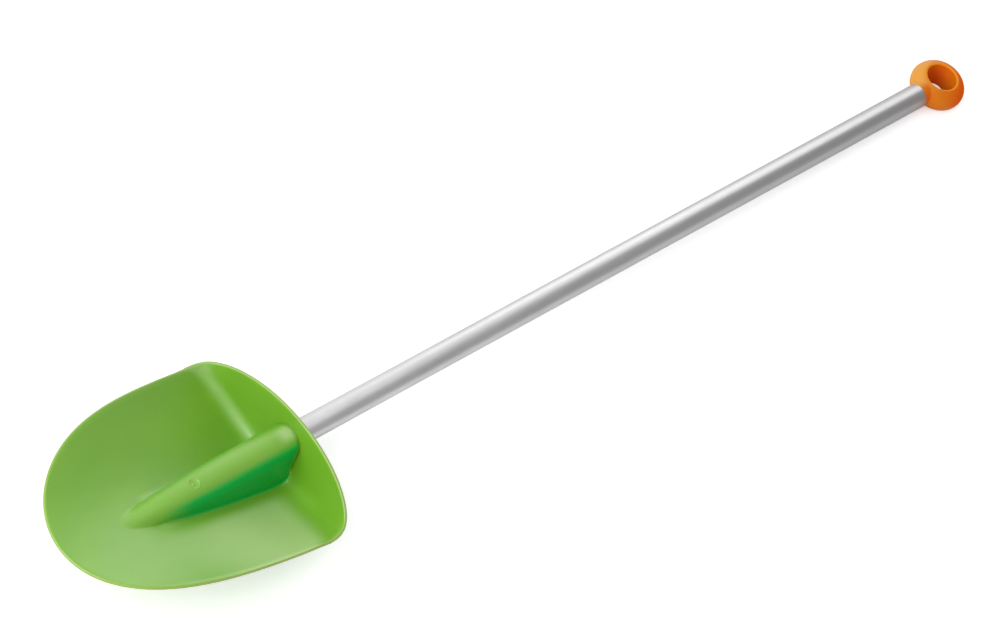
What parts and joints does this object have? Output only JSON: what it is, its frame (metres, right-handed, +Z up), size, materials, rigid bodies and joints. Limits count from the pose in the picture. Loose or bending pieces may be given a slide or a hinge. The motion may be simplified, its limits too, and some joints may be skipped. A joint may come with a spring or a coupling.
{
  "type": "scoop spade",
  "caption": "Light hand spade: a deep scoop-shaped plastic blade with a hollow socket ridge on a straight bare metal tube, and a ring-shaped plastic knob for hanging it up.",
  "frame": {"origin": "centre of the bounding box in X and Y, on the plane that the heel of the blade and the knob rest on", "axes": "+X from the blade's nose towards the knob, +Y across the blade, +Z up, out of the open side of the scoop"},
  "size_m": [0.9872, 0.1786, 0.0703],
  "materials": {
    "green_plastic": "satin, as moulded",
    "satin_aluminium": "satin, drawn tube",
    "orange_plastic": "satin, as moulded"
  },
  "bodies": {
    "root": {"scoop_blade": "green_plastic", "shaft_tube": "satin_aluminium", "end_knob": "orange_plastic"}
  },
  "joints": []
}
